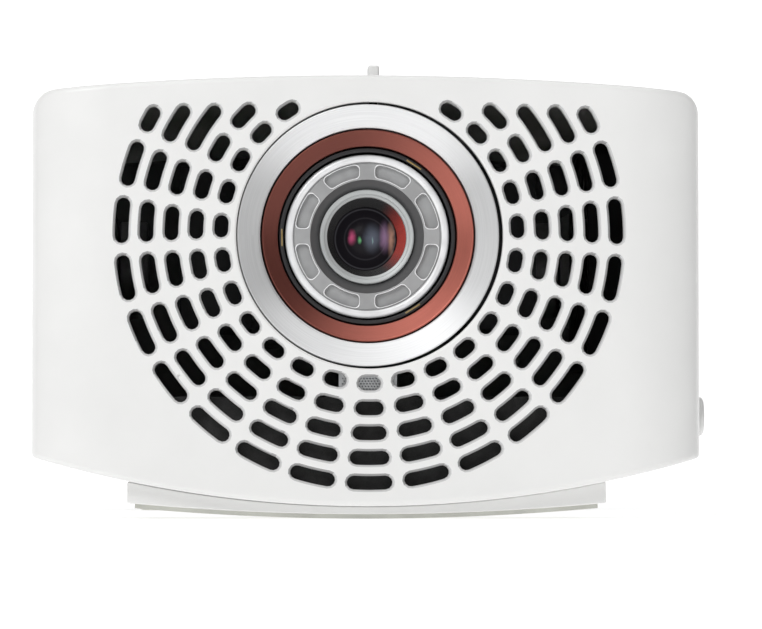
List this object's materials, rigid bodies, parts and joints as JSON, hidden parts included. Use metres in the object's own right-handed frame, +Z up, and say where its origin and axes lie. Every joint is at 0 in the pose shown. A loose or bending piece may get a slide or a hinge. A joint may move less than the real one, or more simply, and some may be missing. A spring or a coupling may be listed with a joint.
{
  "type": "home projector",
  "caption": "Compact home projector with a slotted front grille, ringed lens, focus lever, cooling fans, speakers and a tilting front foot.",
  "frame": {"origin": "bottom centre, on the plane the feet rest on", "axes": "+X to the right seen from the front, -Y out of the lens, +Z up"},
  "size_m": [0.1351, 0.22, 0.0915],
  "materials": {
    "white_plastic": "fine satin moulded, warm white",
    "grey_plastic": "fine textured mid grey",
    "black_plastic": "satin black",
    "spun_aluminium": "spun, fine concentric grain",
    "red_bronze": "satin anodised red-bronze",
    "clear_plastic": "clear moulding with frosted windows",
    "coated_glass": "multi-coated optical glass",
    "pale_rubber": "soft pale grey",
    "grey_felt": "dark open felt",
    "steel": "plain plated steel",
    "cast_aluminium": "cast and machined",
    "copper": null,
    "circuit_board": "solder-masked board"
  },
  "bodies": {
    "case": {"front_cover": "white_plastic", "top_cover": "white_plastic", "bottom_case": "white_plastic", "rear_panel": "grey_plastic", "rear_screw_1": "steel", "rear_screw_2": "steel", "rear_screw_3": "steel", "rear_screw_4": "steel", "bezel_ring": "spun_aluminium", "accent_ring": "red_bronze", "lens_shroud": "black_plastic", "retainer_ring": "clear_plastic", "lens_mount": "black_plastic", "light_engine": "cast_aluminium", "engine_lid": "cast_aluminium", "dmd_board": "circuit_board", "red_led_board": "circuit_board", "green_led_board": "circuit_board", "blue_led_board": "circuit_board", "red_heat_sink": "cast_aluminium", "green_heat_sink": "cast_aluminium", "heat_pipe": "copper", "fan_frame_left": "black_plastic", "fan_frame_right": "black_plastic", "speaker_basket_left": "steel", "speaker_basket_right": "steel", "speaker_magnet_left": "steel", "speaker_magnet_right": "steel", "main_board": "circuit_board", "video_port_1": "steel", "video_port_2": "steel", "usb_port": "steel", "usb_c_port": "steel", "headphone_jack": "steel", "av_jack": "steel", "dc_inlet": "steel", "ir_window": "black_plastic", "grille_felt": "grey_felt", "front_bracket": "steel", "foot_hinge_pin": "steel", "rear_foot_left": "pale_rubber", "rear_foot_right": "pale_rubber"},
    "focus_ring": {"focus_ring": "black_plastic", "focus_lever_cap": "white_plastic"},
    "lens_cell": {"lens_cell": "black_plastic", "lens_rim": "spun_aluminium", "front_lens": "coated_glass", "rear_lens": "coated_glass"},
    "front_foot": {"front_foot": "white_plastic", "foot_pad": "pale_rubber"},
    "release_button": {"release_button": "white_plastic", "latch_bar": "steel"},
    "power_button": {"power_button": "white_plastic"},
    "fan_rotor_left": {"fan_rotor_left": "black_plastic"},
    "fan_rotor_right": {"fan_rotor_right": "black_plastic"},
    "speaker_cone_left": {"speaker_cone_left": "black_plastic"},
    "speaker_cone_right": {"speaker_cone_right": "black_plastic"}
  },
  "joints": [
    {"name": "focus_turn", "type": "hinge", "parent": "case", "child": "focus_ring", "pos_m": [0, -0.086, 0.056], "axis": [0, 1, 0], "range_deg": [-14, 14]},
    {"name": "lens_travel", "type": "slide", "parent": "case", "child": "lens_cell", "axis": [0, 1, 0], "range_m": [-0.0015, 0.0015]},
    {"name": "foot_tilt", "type": "hinge", "parent": "case", "child": "front_foot", "pos_m": [0, -0.06, 0.009], "axis": [1, 0, 0], "range_deg": [0, 12]},
    {"name": "release_press", "type": "slide", "parent": "case", "child": "release_button", "axis": [-1, 0, 0], "range_m": [0, 0.001], "stiffness_N_per_m": 300, "springref_m": -0.001},
    {"name": "power_press", "type": "slide", "parent": "case", "child": "power_button", "axis": [0, 0, -1], "range_m": [0, 0.0006], "stiffness_N_per_m": 500, "springref_m": -0.0006},
    {"name": "fan_left_spin", "type": "hinge", "parent": "case", "child": "fan_rotor_left", "pos_m": [-0.0575, 0.02, 0.05694], "axis": [1, 0, 0], "continuous": true},
    {"name": "fan_right_spin", "type": "hinge", "parent": "case", "child": "fan_rotor_right", "pos_m": [0.0575, 0.02, 0.05694], "axis": [1, 0, 0], "continuous": true},
    {"name": "speaker_left_travel", "type": "slide", "parent": "case", "child": "speaker_cone_left", "axis": [1, 0, 0], "range_m": [-0.0005, 0.0005], "stiffness_N_per_m": 800},
    {"name": "speaker_right_travel", "type": "slide", "parent": "case", "child": "speaker_cone_right", "axis": [1, 0, 0], "range_m": [-0.0005, 0.0005], "stiffness_N_per_m": 800}
  ],
  "couplings": [
    {"joint": "lens_travel", "follows": "focus_turn", "m_per_rad": 0.0061}
  ]
}
